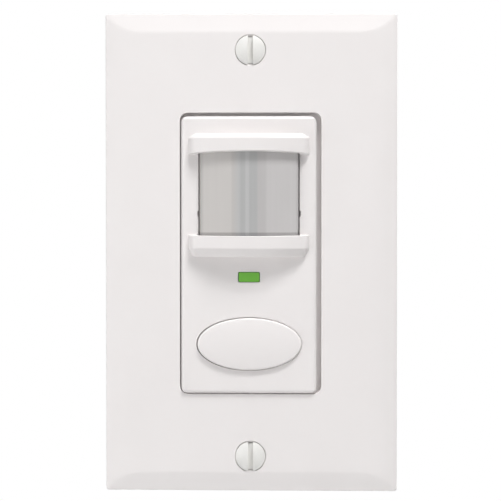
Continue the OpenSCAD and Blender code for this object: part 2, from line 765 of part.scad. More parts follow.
// Row of pins that joins the two boards
module board_header() color("black") in_module() at([header_spot]) {
    along_y(power_y - header_h, power_y) square([header_pins * header_w, header_h], center = true);
    for (i = [0:header_pins - 1]) translate([(i - (header_pins - 1) / 2) * header_w, 0, 0])
        along_y(sensor_back_y, power_y - header_h / 2) square(header_pin_w, center = true);
}

module rear_housing() color([0.2, 0.2, 0.21]) difference() {
    union() {
        difference() {
            housing_block();
            along_y(-past, floor_y) rounded_rect(housing_w - 2 * housing_wall,
                housing_h - 2 * housing_wall, housing_corner_r - housing_wall / 2);
        }
        intersection() {
            housing_block();
            union() {
                at(housing_spots) pin(housing_boss_d, 0, housing_boss_h);
                in_module() at(board_spots) pin(pillar_d, power_back_y, floor_y + past / 2);
            }
        }
        at(lead_spots) pin(lead_collar_d, back_y - past / 2, back_y + lead_collar_h);
    }
    at(housing_spots) pin(housing_screw_d + 2 * run, -past, housing_screw_len);
    in_module() at(board_spots) pin(board_hole_d, power_back_y - past, floor_y);
    at(lead_spots) pin(lead_hole_d, floor_y - past, back_y + lead_collar_h + past);
}

// Outer form of the housing, open to the strap and rounded at the back
module housing_block() intersection() {
    along_y(0, back_y) rounded_rect(housing_w, housing_h, housing_corner_r);
    mirror([0, 1, 0]) crowned_slab(housing_w, housing_h, back_y, housing_edge_r);
}

wall_plate();
plate_screws();
mounting_strap();
housing_screws();
front_bezel();
sensor_lens();
lens_retainer();
indicator_light_pipe();
push_button();
sensor_board();
sensor_can();
sensor_filter();
sensor_base();
photocell();
indicator_lamp();
push_switch_body();
push_switch_plunger();
delay_trimmer_body();
delay_trimmer_rotor();
light_trimmer_body();
light_trimmer_rotor();
board_spacers();
board_screws();
power_board();
relay();
reservoir_capacitor();
film_capacitor();
varistor();
fuse();
board_header();
rear_housing();
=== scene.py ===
# %% [markdown]
# # Motion sensor light switch
# A white wall plate frames a moulded module: a hooded, convex sensor lens on top, a green indicator
# below it and an oval push button. Behind the wall are a steel strap and a closed housing with the boards.
# The CAD model is the fixed frame. Each piece here either gives a CAD node a finish, or stands for the
# node with a finer mesh in the same place.

# %% Load the CAD model as the frame
import json
import math

import bmesh
import bpy
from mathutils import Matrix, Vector

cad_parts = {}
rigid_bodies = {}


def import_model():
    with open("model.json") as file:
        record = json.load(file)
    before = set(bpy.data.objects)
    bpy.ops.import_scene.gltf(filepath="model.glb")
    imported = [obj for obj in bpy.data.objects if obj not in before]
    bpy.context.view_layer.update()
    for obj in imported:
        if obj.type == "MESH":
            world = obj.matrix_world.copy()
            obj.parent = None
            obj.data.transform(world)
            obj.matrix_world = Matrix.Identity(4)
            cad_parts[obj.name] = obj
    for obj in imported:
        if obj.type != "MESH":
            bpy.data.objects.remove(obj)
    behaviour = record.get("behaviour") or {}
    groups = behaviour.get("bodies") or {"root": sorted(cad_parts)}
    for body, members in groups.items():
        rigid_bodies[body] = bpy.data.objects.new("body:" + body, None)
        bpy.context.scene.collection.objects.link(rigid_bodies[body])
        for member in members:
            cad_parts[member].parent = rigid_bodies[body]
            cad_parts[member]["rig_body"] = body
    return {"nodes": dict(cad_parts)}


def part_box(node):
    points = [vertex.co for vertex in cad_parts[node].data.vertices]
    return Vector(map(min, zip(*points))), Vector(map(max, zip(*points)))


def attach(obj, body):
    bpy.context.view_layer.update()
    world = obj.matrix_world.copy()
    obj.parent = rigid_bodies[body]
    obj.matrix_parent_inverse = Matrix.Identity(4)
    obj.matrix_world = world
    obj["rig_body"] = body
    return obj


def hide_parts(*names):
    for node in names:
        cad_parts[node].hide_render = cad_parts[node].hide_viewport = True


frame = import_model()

scene = bpy.context.scene
nodes = frame["nodes"]
mm = 0.001
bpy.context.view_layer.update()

# %% [markdown]
# ## Camera
# The photograph is taken nearly straight from the front, with the camera a little to the right of the
# switch and a little above its middle. The hood's underside and the edges of the plate show how strong
# the perspective is, which puts the camera about half a metre away with a long lens.

# %% Camera
camera = bpy.data.objects.new("photo_camera", bpy.data.cameras.new("photo_camera"))
camera.data.sensor_width = 36
camera.data.lens = 140
camera.location = (16 * mm, -470 * mm, 13 * mm)
aim = Vector((-0.19, 0, 0.6)) * mm
camera.rotation_euler = (aim - camera.location).to_track_quat("-Z", "Y").to_euler()
scene.collection.objects.link(camera)
scene.camera = camera
print("camera at", [round(v, 4) for v in camera.location])

# %% [markdown]
# ## Wires: node maths as Python
# A material is a small program made of nodes, and so is a Geometry Nodes tree. Writing each Math node by
# hand is slow to read, so a Wire stands for an output socket, and adding or multiplying wires adds the
# Math nodes. Every other node comes from one method, which sets the node's own settings first and then
# its sockets.

# %% The Wire class


class Wire:
    """An output socket of a node tree. Operators on it add Math nodes to the tree."""

    def __init__(self, tree, socket=None):
        self.tree, self.socket = tree, socket

    def node(self, kind, settings=None, sockets=None, output=0):
        """Adds a node, gives it its settings, then a value, a wire or a list of wires for each socket."""
        made = self.tree.nodes.new(kind if "Node" in kind else "ShaderNode" + kind)
        for name, value in (settings or {}).items():
            if name == "stops":
                ramp = made.color_ramp.elements
                while len(ramp) < len(value):
                    ramp.new(1)
                for element, (place, shade) in zip(ramp, value):
                    element.position, element.color = place, (*shade, 1)
            else:
                setattr(made, name, value)
        for name, value in (sockets or {}).items():
            wires = value if isinstance(value, list) else [value]
            for wire in wires:
                if isinstance(wire, Wire):
                    self.tree.links.new(wire.socket, made.inputs[name])
                else:
                    made.inputs[name].default_value = wire
        return Wire(self.tree, made.outputs[output])

    def outputs(self):
        """A wire from each output of the node that this wire comes from."""
        return [Wire(self.tree, socket) for socket in self.socket.node.outputs]

    def math(self, operation, first, second=0.0):
        """A Math node with that operation on two wires or numbers."""
        return self.node("Math", {"operation": operation}, {0: first, 1: second})

    def __add__(self, other):
        return self.math("ADD", self, other)

    def __radd__(self, other):
        return self.math("ADD", other, self)

    def __sub__(self, other):
        return self.math("SUBTRACT", self, other)

    def __rsub__(self, other):
        return self.math("SUBTRACT", other, self)

    def __mul__(self, other):
        return self.math("MULTIPLY", self, other)

    def __rmul__(self, other):
        return self.math("MULTIPLY", other, self)

    def __truediv__(self, other):
        return self.math("DIVIDE", self, other)

    def __abs__(self):
        return self.math("ABSOLUTE", self)

    def saw(self):
        """The part of this wire after the decimal point."""
        return self.math("FRACT", self)

    def step(self, start, end):
        """Rises smoothly from 0 to 1 while this wire goes from start to end."""
        limits = {"Value": self, "From Min": start, "From Max": end}
        return self.node("MapRange", {"interpolation_type": "SMOOTHSTEP"}, limits)

    def noise(self, size, detail=2.0):
        """Noise whose grains are about size metres across, on this wire's vectors."""
        return self.node("TexNoise", sockets={"Vector": self, "Scale": 1 / size, "Detail": detail})

    def blend(self, low, high):
        """Goes from colour low to colour high as this wire goes from 0 to 1."""
        kind = {"data_type": "RGBA"}
        colours = [c if isinstance(c, Wire) else (*c, 1) for c in (low, high)]
        return self.node("Mix", kind, {0: self, 6: colours[0], 7: colours[1]}, output=2)

    def axes(self):
        """The X, Y and Z of this wire's vectors."""
        return self.node("SeparateXYZ", sockets={0: self}).outputs()

    def feed(self, shader, name):
        """Links this wire to a socket of a shader or of another node."""
        self.tree.links.new(self.socket, shader.inputs[name])


def new_finish(name, **constants):
    """A material, its shader with constants set on its sockets, and a wire of Object coordinates."""
    material = bpy.data.materials.new(name)
    material.use_nodes = True
    shader = material.node_tree.nodes["Principled BSDF"]
    for socket, value in constants.items():
        shader.inputs[socket.replace("_", " ")].default_value = value
    place = Wire(material.node_tree).node("TexCoord", output=3)
    return material, shader, place


def grain_bump(shader, height, depth):
    """Turns a height wire into a bump of that depth in metres."""
    values = {"Height": height, "Distance": depth, "Strength": 1.0}
    height.node("Bump", sockets=values).feed(shader, "Normal")


print("node helpers ready")

# %% [markdown]
# ## Studio
# The photograph's ground is pure white and shows no shadow. The world and the floor are therefore white
# to the camera, while what lights the object comes from soft lamps. Two keys stand above and to the right:
# they throw the sill's shadow to the lower left. A broad lamp overhead, two on the left and a low card
# fill that shadow and the undersides, and one behind shows the back as it is. The floor lies well below,
# as a floor does under a wall switch, and it keeps the object's soft shadow.

# %% World and floor
scene.view_settings.view_transform = "Standard"


def seen_directly(tree):
    """1 for camera, mirror and see-through rays, and 0 for the rays that carry light."""
    path = tree.nodes.new("ShaderNodeLightPath")
    rays = [Wire(tree, path.outputs[n]) for n in ("Is Camera Ray", "Is Glossy Ray", "Is Transmission Ray")]
    return rays[0].math("MAXIMUM", rays[0].math("MAXIMUM", rays[0], rays[1]), rays[2])


world = bpy.data.worlds.new("studio")
world.use_nodes = True
scene.world = world
tree = world.node_tree
seen = seen_directly(tree)
world_fill = 0.18
(world_fill + (1 - world_fill) * seen).feed(tree.nodes["Background"], "Strength")
tree.nodes["Background"].inputs["Color"].default_value = (1, 1, 1, 1)

floor_z, floor_half, floor_glow = -450 * mm, 1.6, 0.8
mesh = bpy.data.meshes.new("floor")
mesh.from_pydata([(x * floor_half, y * floor_half, floor_z) for x, y in ((-1, -1), (1, -1), (1, 1), (-1, 1))],
                 [], [(0, 1, 2, 3)])
floor = bpy.data.objects.new("floor", mesh)
scene.collection.objects.link(floor)
floor_finish, shader, place = new_finish("pale_floor", Base_Color=(0.86, 0.86, 0.86, 1), Roughness=0.9)
tree = floor_finish.node_tree
glow = place.node("Emission", sockets={"Color": (1, 1, 1, 1), "Strength": 1.0})
share = floor_glow * seen_directly(tree)
lit = Wire(tree, shader.outputs[0])
lit.node("MixShader", sockets={0: share, 1: lit, 2: glow}).feed(tree.nodes["Material Output"], "Surface")
mesh.materials.append(floor_finish)
print("floor at", floor_z, "m")

# %% Lamps


def lamp(name, towards, distance, size, power):
    """A square soft lamp in the direction towards, seen from the object, that faces the object."""
    light = bpy.data.lights.new(name, "AREA")
    light.size, light.energy = size, power
    source = bpy.data.objects.new(name, light)
    source.location = Vector(towards).normalized() * distance
    source.rotation_euler = (-source.location).to_track_quat("-Z", "Y").to_euler()
    scene.collection.objects.link(source)


lamp("key_above", (0.5, -1.0, 2.0), 0.9, 0.25, 4.75)
lamp("key_upper_right", (0.8, -1.0, 2.4), 0.9, 0.12, 2.0)
lamp("overhead", (0.0, -0.7, 1.0), 1.1, 1.2, 2.4)
lamp("left_near", (-0.6, -0.7, 0.0), 0.5, 0.3, 0.26)
lamp("left_low", (-1.0, -0.5, -0.4), 1.1, 0.6, 4.0)
lamp("bounce_card", (0.0, -0.35, -0.38), 0.52, 0.2, 0.24)
lamp("rear_fill", (0.8, 1.0, 0.5), 1.2, 1.0, 8.0)

# %% [markdown]
# ## White moulding
# Plate, bezel and button are moulded in one warm white, satin and very finely textured. The colour is
# plain, but not a single flat value: a slow mottle moves it a little, and the grain of the mould breaks
# up the gloss. Both are measured in metres on Object coordinates, so they are at their real size.

# %% White moulded plastic
white_moulding, shader, place = new_finish("white_moulding", IOR=1.5)
grain = place.noise(0.16 * mm, detail=3)
mottle = place.noise(14 * mm, detail=1)
mottle.blend((0.835, 0.802, 0.795), (0.865, 0.835, 0.828)).feed(shader, "Base Color")
(0.36 + 0.12 * grain).feed(shader, "Roughness")
grain_bump(shader, grain, 0.006 * mm)
print("made", white_moulding.name)

# %% [markdown]
# ## Lofts
# The plate and the button are stacks of closed outlines, one a little inside the next, like contour
# lines. Joining each outline to the next with faces gives an even mesh whose edges have a true radius.
# A flat face with holes in it is filled between its outlines.

# %% Outlines


def rounded_outline(w, h, r, y, steps=10, centre=(0, 0)):
    """Points of a rounded rectangle in millimetres, counter-clockwise seen from the front."""
    points = []
    for corner, (sx, sz) in enumerate(((1, 1), (-1, 1), (-1, -1), (1, -1))):
        for i in range(steps + 1):
            turn = math.radians(90 * (corner + i / steps))
            points.append((centre[0] + sx * (w / 2 - r) + r * math.cos(turn), y,
                           centre[1] + sz * (h / 2 - r) + r * math.sin(turn)))
    return points


def oval_outline(w, h, y, centre=(0, 0), steps=96):
    """Points of an ellipse in millimetres, counter-clockwise seen from the front."""
    turns = [2 * math.pi * i / steps for i in range(steps)]
    return [(centre[0] + w / 2 * math.cos(t), y, centre[1] + h / 2 * math.sin(t)) for t in turns]


def arc(r, steps, start=0.0, end=90.0):
    """Pairs (r sin, r - r cos) along a rounded edge, from the start to the end angle."""
    turns = [math.radians(start + (end - start) * i / steps) for i in range(steps + 1)]
    return [(r * math.sin(t), r - r * math.cos(t)) for t in turns]


print("a 90 degree edge of 1 mm in 2 steps:", [[round(v, 2) for v in p] for p in arc(1, 2)])

# %% Pieces of the model


def as_piece(mesh, name, finish, body, *replaced, slot=None, sharp=35):
    """Makes a mesh a smooth-shaded piece with a finish, riding on a body for the nodes it replaces."""
    mesh.materials.clear()
    mesh.materials.append(finish)
    mesh.shade_smooth()
    mesh.set_sharp_from_angle(angle=math.radians(sharp))
    piece = bpy.data.objects.new(name, mesh)
    scene.collection.objects.link(piece)
    even = piece.modifiers.new("even_normals", "WEIGHTED_NORMAL")
    even.keep_sharp = True
    bake_modifiers(piece)
    open_edges = sum(1 for e in edge_uses(piece.data) if e != 2)
    print(name, len(piece.data.polygons), "faces,", open_edges, "open edges")
    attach(piece, body)
    if replaced:
        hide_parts(*replaced)
    return piece


def bake_modifiers(piece):
    """Turns the evaluated piece into a plain mesh and removes its modifiers."""
    result = piece.evaluated_get(bpy.context.evaluated_depsgraph_get())
    mesh = bpy.data.meshes.new_from_object(result)
    piece.modifiers.clear()
    old, piece.data = piece.data, mesh
    mesh.name = piece.name
    bpy.data.meshes.remove(old)


def edge_uses(mesh):
    """How many faces use each edge of a mesh."""
    uses = [0] * len(mesh.edges)
    for loop in mesh.loops:
        uses[loop.edge_index] += 1
    return uses


# %% Lofted shells


class Shell:
    """A mesh under construction, made of rings of vertices."""

    def __init__(self):
        self.bm = bmesh.new()

    def ring(self, points):
        """New vertices at points in millimetres."""
        return [self.bm.verts.new([v * mm for v in p]) for p in points]

    def loft(self, outlines):
        """Joins each outline to the next, and returns the first and last rings."""
        rings = [self.ring(o) for o in outlines]
        for a, b in zip(rings, rings[1:]):
            self.join(a, b)
        return rings[0], rings[-1]

    def join(self, a, b):
        """Faces between two rings with the same number of vertices."""
        for i in range(len(a)):
            j = (i + 1) % len(a)
            self.bm.faces.new((a[i], a[j], b[j], b[i]))

    def fill(self, *rings):
        """Fills the flat area inside the first ring and outside the others."""
        edges = []
        for ring in rings:
            for a, b in zip(ring, ring[1:] + ring[:1]):
                edges.append(self.bm.edges.get((a, b)) or self.bm.edges.new((a, b)))
        bmesh.ops.triangle_fill(self.bm, edges=edges, use_beauty=True, use_dissolve=False)

    def finish(self, name, finish, body, *replaced):
        """Turns the faces outwards and makes the mesh a piece that stands for CAD nodes."""
        bmesh.ops.recalc_face_normals(self.bm, faces=self.bm.faces)
        mesh = bpy.data.meshes.new(name)
        self.bm.to_mesh(mesh)
        self.bm.free()
        return as_piece(mesh, name, finish, body, *replaced)


print("loft helpers ready")

# %% [markdown]
# ## Wall plate
# A thin shell. Its top and bottom are cut to a shallow, flat slope, while its left and right sides fall
# away in a long, gentle curve, so a crease runs from each corner into the face. Both are heights above
# the wall, and at each height the plate is a rectangle, so the front is a loft of rectangles. The left and
# lower walls lean in a little towards the front, which a mould needs to let go of the plate. The opening
# has a small lip, and each screw sits in a countersunk hole.

# %% Outside and inside of the plate
low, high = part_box("wall_plate")
plate_w, plate_h = ((high[i] - low[i]) / mm for i in (0, 2))
plate_d = -low[1] / mm
plate_wall, inner_r, inner_corner, corner_r = 2.2, 2.3, 0.4, 0.7
slope_w, slope_rim, slope_soft, slope = 4.45, 0.3, 0.48, math.tan(math.radians(12.5))
side_w, side_rim, side_fall, rim_drop = 9.5, 0.25, 2.6, 0.35
draft_side, draft_end, rim_steps, face_steps = 0.14, 0.18, 6, 16
slope_drop = (slope_w - slope_rim) * slope

plate = Shell()
insets = []
for i in range(rim_steps + 1):
    turn = math.radians(90 * (1 - i / rim_steps))
    share = 1 - math.sin(turn)
    insets.append((side_rim * share, slope_rim * share, slope_drop + rim_drop * (1 - math.cos(turn))))
for i in range(1, face_steps + 1):
    left = 1 - i / face_steps
    drop = slope_drop * left ** side_fall
    run = drop / slope
    end = slope_w - run if run > slope_soft else slope_w + slope_soft - 2 * math.sqrt(slope_soft * run)
    insets.append((side_w + (side_rim - side_w) * left, end, drop))
outside = [rounded_outline(plate_w, plate_h, corner_r, 0)]
outside += [rounded_outline(plate_w - 2 * (side + draft_side), plate_h - 2 * (end + draft_end), corner_r,
                            drop - plate_d, centre=(draft_side, draft_end)) for side, end, drop in insets]
rim_outer, face_outer = plate.loft(outside)

inner_w, inner_h, inner_d = plate_w - 2 * plate_wall, plate_h - 2 * plate_wall, plate_d - plate_wall
inside = [rounded_outline(inner_w, inner_h, inner_corner, 0)]
for rise, inset in arc(inner_r, 6):
    inside.append(rounded_outline(inner_w - 2 * inset, inner_h - 2 * inset, inner_corner + 0.6 * inset,
                                  inner_r - inner_d - rise))
rim_inner, back_outer = plate.loft(inside)
plate.fill(rim_outer, rim_inner)
print("plate", round(plate_w, 2), "x", round(plate_h, 2), "x", round(plate_d, 2), "mm")

# %% Opening and screw holes of the plate
opening_w, opening_h, opening_r, lip_r, opening_middle = 33.66, 67.0, 1.9, 0.2, (0.02, 0.05)
screw_z, sink_r, hole_r, sink_lip = 48.42, 3.65, 2.0, 0.12
sink_slope = math.tan(math.radians(41))

mouth = [rounded_outline(opening_w + 2 * (lip_r - rise), opening_h + 2 * (lip_r - rise),
                         opening_r + lip_r - rise, inset - plate_d, centre=opening_middle)
         for rise, inset in arc(lip_r, 4)]
mouth.append(rounded_outline(opening_w, opening_h, opening_r, -inner_d, centre=opening_middle))
face_mouth, back_mouth = plate.loft(mouth)
face_holes, back_holes = [], []
for side in (-1, 1):
    centre = (0, side * screw_z)
    depths = [(sink_r + sink_lip, 0), (sink_r, sink_lip), (hole_r, sink_lip + (sink_r - hole_r) / sink_slope),
              (hole_r, plate_wall)]
    first, last = plate.loft([oval_outline(2 * r, 2 * r, d - plate_d, centre) for r, d in depths])
    face_holes.append(first)
    back_holes.append(last)
plate.fill(face_outer, face_mouth, *face_holes)
plate.fill(back_outer, back_mouth, *back_holes)
plate.finish("plate_shell", white_moulding, "base", "wall_plate")

# %% [markdown]
# ## Push button
# An oval cap with a shallow dome, a rounded rim, a flange that keeps it behind the bezel and a stem that
# reaches the push switch. The dome's contour lines are ellipses. The cap sits a hair to the right in its
# hole, as the photograph shows, so the gap is a little wider on the left.

# %% Push button
low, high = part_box("push_button")
button_centre = ((low[0] + high[0]) / 2 / mm, (low[2] + high[2]) / 2 / mm)
button_w, button_h, dome, rim_r, rings = 24.8, 12.4, 0.4, 0.45, 14
cap_right, cap_sunk, flange_y, flange_t, stem_d = 0.12, 0.1, -5.2, 1.0, 4.0
top_y = low[1] / mm + cap_sunk
flange_w, flange_h = (high[0] - low[0]) / mm, (high[2] - low[2]) / mm

button = Shell()
outlines = []
cap_centre = (button_centre[0] + cap_right, button_centre[1])
for i in range(1, rings + 1):
    t = i / rings
    outlines.append(oval_outline((button_w - 2 * rim_r) * t, (button_h - 2 * rim_r) * t,
                                 top_y + dome * t ** 2, cap_centre))
for rise, inset in arc(rim_r, 6, 12, 90)[1:]:
    outlines.append(oval_outline(button_w - 2 * (rim_r - rise), button_h - 2 * (rim_r - rise),
                                 top_y + dome + inset, cap_centre))
outlines.append(oval_outline(button_w, button_h, flange_y, cap_centre))
for w, h, y in ((flange_w, flange_h, flange_y),
                (flange_w, flange_h, flange_y + flange_t), (stem_d, stem_d, flange_y + flange_t),
                (stem_d, stem_d, high[1] / mm)):
    outlines.append(oval_outline(w, h, y, button_centre))
first, last = button.loft(outlines)
tip = button.bm.verts.new((cap_centre[0] * mm, top_y * mm, cap_centre[1] * mm))
for a, b in zip(first, first[1:] + first[:1]):
    button.bm.faces.new((tip, a, b))
button.fill(last)
button.finish("button_cap", white_moulding, "button", "push_button")

# %% [markdown]
# ## Softened copies
# The bezel, with its hood and sill, is already right in the CAD model, but every real moulding has small
# radii where the CAD has sharp edges, and those catch the light. So a copy of the CAD mesh is welded,
# its flat faces are merged, and a Bevel modifier rounds each edge. A merged face must not have a hole in
# it, so the copy is first cut at heights that pass through its holes.

# %% Rounding the edges of a CAD copy
sharp_from, round_steps = math.radians(22), 3


def softened(node, width, finish, name, levels=(), share=None, fit=None):
    """A copy of a CAD node whose sharp edges are rounded by width millimetres.

    It is cut at the levels, which are in metres. Where share is given, it says how much of the width an
    edge gets, and slivers are taken out first. Where fit is given, it moves each point at the end.
    """
    shell = bmesh.new()
    shell.from_mesh(nodes[node].data)
    bmesh.ops.remove_doubles(shell, verts=shell.verts, dist=0.001 * mm)
    if share:
        bmesh.ops.dissolve_degenerate(shell, edges=shell.edges, dist=0.01 * mm)
    for level in levels:
        everything = shell.verts[:] + shell.edges[:] + shell.faces[:]
        cut = bmesh.ops.bisect_plane(shell, geom=everything, plane_co=(0, 0, level), plane_no=(0, 0, 1))
        for edge in cut["geom_cut"]:
            if isinstance(edge, bmesh.types.BMEdge):
                edge.seam = True
    bmesh.ops.dissolve_limit(shell, angle_limit=math.radians(0.6), verts=shell.verts, edges=shell.edges,
                             use_dissolve_boundaries=False, delimit={"SEAM"})
    if share:
        weight = shell.edges.layers.float.new("bevel_weight_edge")
        for edge in shell.edges:
            if edge.calc_face_angle(0) > sharp_from:
                edge[weight] = share(edge)
    mesh = bpy.data.meshes.new(name)
    shell.to_mesh(mesh)
    shell.free()
    piece = bpy.data.objects.new(name, mesh)
    scene.collection.objects.link(piece)
    rounding = piece.modifiers.new("rounding", "BEVEL")
    rounding.width, rounding.segments = width * mm, round_steps
    rounding.limit_method, rounding.angle_limit = "WEIGHT" if share else "ANGLE", sharp_from
    rounding.use_clamp_overlap = False
    rounding.miter_outer = "MITER_ARC"
    bake_modifiers(piece)
    mesh = piece.data
    bpy.data.objects.remove(piece)
    if fit:
        for vertex in mesh.vertices:
            fit(vertex.co)
    return as_piece(mesh, name, finish, nodes[node]["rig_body"], node, sharp=60)


def middle(node):
    """The middle of a node's box in metres."""
    return [(a + b) / 2 for a, b in zip(*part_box(node))]


print("edges are rounded in", round_steps, "steps")

# %% [markdown]
# ## Bezel
# The bezel is the first of these copies. The blunt edges of its hood and sill are rounder than the rest,
# so they get the whole radius and all other edges a share of it. In the photograph the gaps to the plate
# are narrower on the left and below than in the CAD, so the walls there move out a little. The cuts pass
# through the holes for the button, the indicator and the lens, and through the hooks on the skirt.

# %% Bezel
blunt_from, blunt_to, other_share, face_y = math.radians(28), math.radians(62), 0.43, -6.9
wall_left, wall_low, wall_foot, reach = -16.35, -33.1, -4.3, 0.15
band_start, band_length, foot_length, hook_z = 2.5, 1.5, 1.0, 14.0


def share_of(distance, start, length):
    """How far a distance has come on its way from start over a length, from 0 to 1."""
    return min(max((distance - start) / length, 0), 1)


def slope_share(edge):
    """1 for the blunt edges of the hood and the sill, and the smaller share for all other edges."""
    blunt = edge.is_convex and blunt_from < edge.calc_face_angle(0) < blunt_to
    return 1 if blunt and all(vertex.co.y < face_y * mm for vertex in edge.verts) else other_share


def fill_opening(point):
    """Moves a point on the left or lower wall of the bezel's front outwards by up to reach."""
    front = share_of(-point.y / mm, -wall_foot, foot_length)
    for axis, wall in ((0, wall_left), (2, wall_low)):
        point[axis] -= reach * mm * front * share_of(-point[axis] / mm, -wall - band_start, band_length)


cuts = [middle(n)[2] for n in ("push_button", "indicator_light_pipe", "sensor_lens")]
cuts += [-hook_z * mm, hook_z * mm]
softened("front_bezel", 0.3, white_moulding, "bezel_moulding", cuts, slope_share, fill_opening)

# %% [markdown]
# ## Geometry Nodes
# A Geometry Nodes tree is a recipe that makes a mesh from a few named sizes. The lens, the screws and the
# solder joints follow simple rules, so each gets a tree. The tree works on an outline drawn in Python,
# and its result is turned into a plain mesh, because instances don't survive an export.

# %% Growing a mesh from an outline


def grow(name, outline, recipe, finish, **sizes):
    """Runs a tree that recipe builds on an outline, with named sizes, and returns the plain mesh."""
    tree = bpy.data.node_groups.new(name, "GeometryNodeTree")
    tree.interface.new_socket("Geometry", in_out="INPUT", socket_type="NodeSocketGeometry")
    tree.interface.new_socket("Geometry", in_out="OUTPUT", socket_type="NodeSocketGeometry")
    labels = {}
    for key, value in sizes.items():
        kind = "NodeSocketInt" if isinstance(value, int) else "NodeSocketFloat"
        labels[key] = tree.interface.new_socket(key.replace("_", " "), in_out="INPUT", socket_type=kind)
    entry = tree.nodes.new("NodeGroupInput")
    wires = {key: Wire(tree, entry.outputs[label.name]) for key, label in labels.items()}
    made = recipe(Wire(tree, entry.outputs["Geometry"]), **wires)
    made = made.node("GeometryNodeRealizeInstances", sockets={"Geometry": made})
    made = made.node("GeometryNodeSetMaterial", sockets={"Geometry": made, "Material": finish})
    made.feed(tree.nodes.new("NodeGroupOutput"), 0)

    mesh = bpy.data.meshes.new(name)
    points, edges = outline
    mesh.from_pydata([[v * mm for v in p] for p in points], edges, [])
    seed = bpy.data.objects.new(name, mesh)
    scene.collection.objects.link(seed)
    grower = seed.modifiers.new(name, "NODES")
    grower.node_group = tree
    for key, label in labels.items():
        grower[label.identifier] = sizes[key]
    bake_modifiers(seed)
    mesh = seed.data
    bpy.data.objects.remove(seed)
    shell = bmesh.new()
    shell.from_mesh(mesh)
    bmesh.ops.recalc_face_normals(shell, faces=shell.faces)
    shell.to_mesh(mesh)
    shell.free()
    return mesh


def moved(shape, offset, turn=(0.0, 0.0, 0.0)):
    """A shape that a Geometry Nodes tree turns and then moves, in metres."""
    values = {"Geometry": shape, "Translation": offset, "Rotation": turn}
    return shape.node("GeometryNodeTransform", sockets=values)


print("tree helpers ready")

# %% [markdown]
# ## Sensor lens
# A sheet of milky plastic bent into part of a cylinder, with rounded upright edges, side walls and feet
# behind the bezel. Its inner side carries the upright ribs that focus warmth on the sensor. The plan of
# the sheet is drawn once, and the tree fills it, lifts it to the lens's height and sets the ribs along an
# arc. Where the sheet is thin, the dark inside shows through as grey bands, so the finish has upright
# bands of its own in the middle. The darker bands next to its upright edges are painted shade. It also
# has fine streaks along the ribs, and at the foot, where it meets the sill, a dark line of painted
# contact shadow.

# %% Milky lens plastic
lens_milk, shader, place = new_finish("lens_milk", IOR=1.5)
across, _, up = place.axes()
warm, plain, cool = (1, 0.96, 0.93), (1, 1, 1), (1, 0.97, 0.965)
ramp_half = 13
# The dark stops next to the edges, at -12.0 and 11.3 mm, are painted shade; the grey stops in the middle
# stand for the dark inside seen through the sheet.
bands = [(-12.0, 0.433, warm), (-10.9, 0.577, warm), (-4.6, 0.582, warm), (-4.1, 0.525, warm),
         (-2.6, 0.494, plain), (-2.0, 0.438, plain), (-1.2, 0.443, plain), (-0.9, 0.51, plain),
         (-0.3, 0.5, plain), (0.0, 0.443, plain), (1.6, 0.443, plain), (2.0, 0.494, cool),
         (3.6, 0.51, cool), (4.2, 0.561, cool), (10.6, 0.587, cool), (11.3, 0.515, cool)]
spread = across.node("MapRange", sockets={
    "Value": across, "From Min": -ramp_half * mm, "From Max": ramp_half * mm})
stops = [((x + ramp_half) / (2 * ramp_half), [v * part for part in tint]) for x, v, tint in bands]
tone = spread.node("ValToRGB", {"stops": stops}, {0: spread})
streak = place.node("Mapping", sockets={"Vector": place, "Scale": (1, 1, 0.02)}).noise(0.8 * mm, detail=3)
# Painted contact shadow: the sheet turns darker below the sill's top edge, where it meets the sill.
foot_contact_shade = up.step(5.25 * mm, 4.95 * mm)
shade = foot_contact_shade.blend(streak.blend((0.94, 0.94, 0.94), (1, 1, 1)), (0.66, 0.66, 0.66))
tone = tone.node("Mix", {"data_type": "RGBA", "blend_type": "MULTIPLY"},
                 {0: 1.0, 6: tone, 7: shade}, output=2)
tone.feed(shader, "Base Color")
ripple = place.noise(1.2 * mm, detail=2)
(0.38 + 0.1 * ripple).feed(shader, "Roughness")
grain_bump(shader, ripple, 0.01 * mm)
print("made", lens_milk.name, "with", len(bands), "bands")

# %% Plan of the lens
low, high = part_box("sensor_lens")
lens_w, lens_t, lens_r, lens_edge, foot_out, wall_back = 23.5, 0.8, 35.52, 0.8, 1.4, -5.2
lens_x, lens_z, lens_h = (low[0] + high[0]) / 2 / mm, low[2] / mm, (high[2] - low[2]) / mm
axis_y, foot_y = low[1] / mm + lens_r, high[1] / mm


def bow(r, half, edge, steps):
    """Points of a bow about the lens's axis from right to left, with edges of radius edge."""
    x = half - edge
    drop = math.sqrt((r - edge) ** 2 - x ** 2)
    lean = math.atan2(x, drop)
    corner = [(x + edge * math.sin(t), axis_y - drop - edge * math.cos(t))
              for t in (math.pi / 2 + (lean - math.pi / 2) * i / 6 for i in range(7))]
    front = [(r * math.sin(t), axis_y - r * math.cos(t))
             for t in (lean * (1 - 2 * i / steps) for i in range(1, steps))]
    return corner + front + [(-px, py) for px, py in reversed(corner)]


half, inner_half = lens_w / 2, lens_w / 2 - lens_t
foot = [(half + foot_out, foot_y), (half + foot_out, wall_back), (half, wall_back)]
outer = foot + bow(lens_r, half, lens_edge, 60) + [(-px, py) for px, py in reversed(foot)]
inner = bow(lens_r - lens_t, inner_half, 0.1, 60)
inner = [(inner_half, foot_y)] + inner + [(-inner_half, foot_y)]
plan = [(lens_x + px, py, 0) for px, py in outer + inner[::-1]]
loop = [(i, (i + 1) % len(plan)) for i in range(len(plan))]
print("lens", lens_w, "x", round(lens_h, 2), "mm,", len(plan), "points in its plan")

# %% Lens sheet with its ribs
fan_start, fan_sweep = math.radians(-106.5), math.radians(33)


